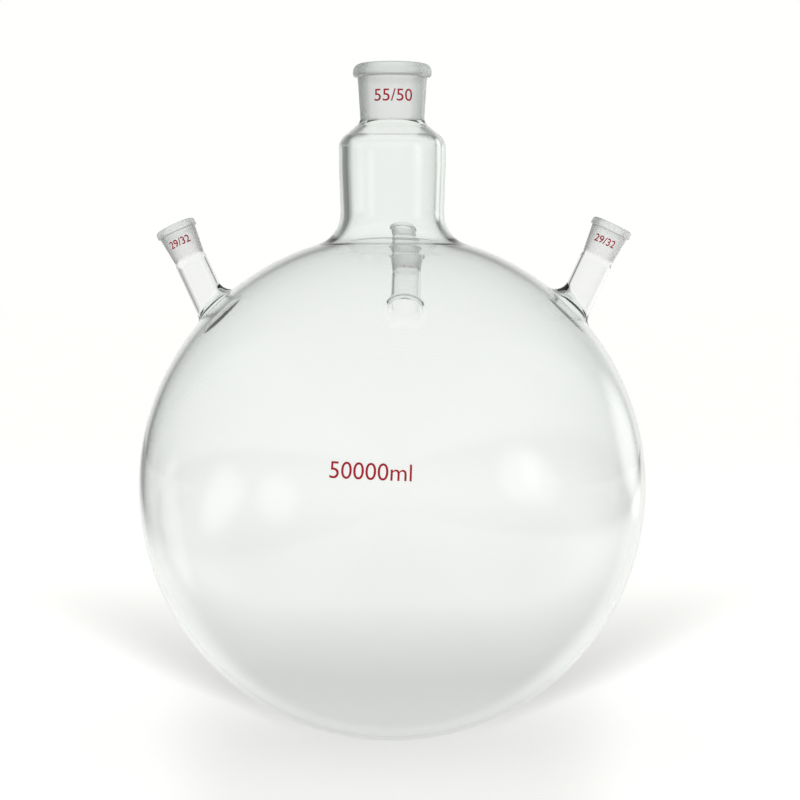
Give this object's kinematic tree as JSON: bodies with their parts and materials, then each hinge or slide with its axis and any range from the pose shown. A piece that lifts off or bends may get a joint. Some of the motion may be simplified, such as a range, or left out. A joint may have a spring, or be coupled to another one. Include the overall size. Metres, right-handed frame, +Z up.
{
  "type": "four-neck flask",
  "caption": "Large blown glass flask with a round bulb, a wide central ground-socket neck on a shoulder and smaller ground-socket necks leaning out at both sides and the back.",
  "frame": {"origin": "the lowest point of the round bottom, straight under the bulb's centre and the main neck", "axes": "+Z up along the main neck's axis; two side necks lean out along -X and +X and the third along +Y, at the back; the size marks face -Y"},
  "size_m": [0.472, 0.472, 0.629],
  "materials": {
    "glass": "clear fire-polished borosilicate with a faint green cast in thick glass, and matt ground bores in the four sockets",
    "size_marks": "fired-on red enamel figures"
  },
  "bodies": {
    "root": {"flask": "glass"}
  },
  "joints": []
}
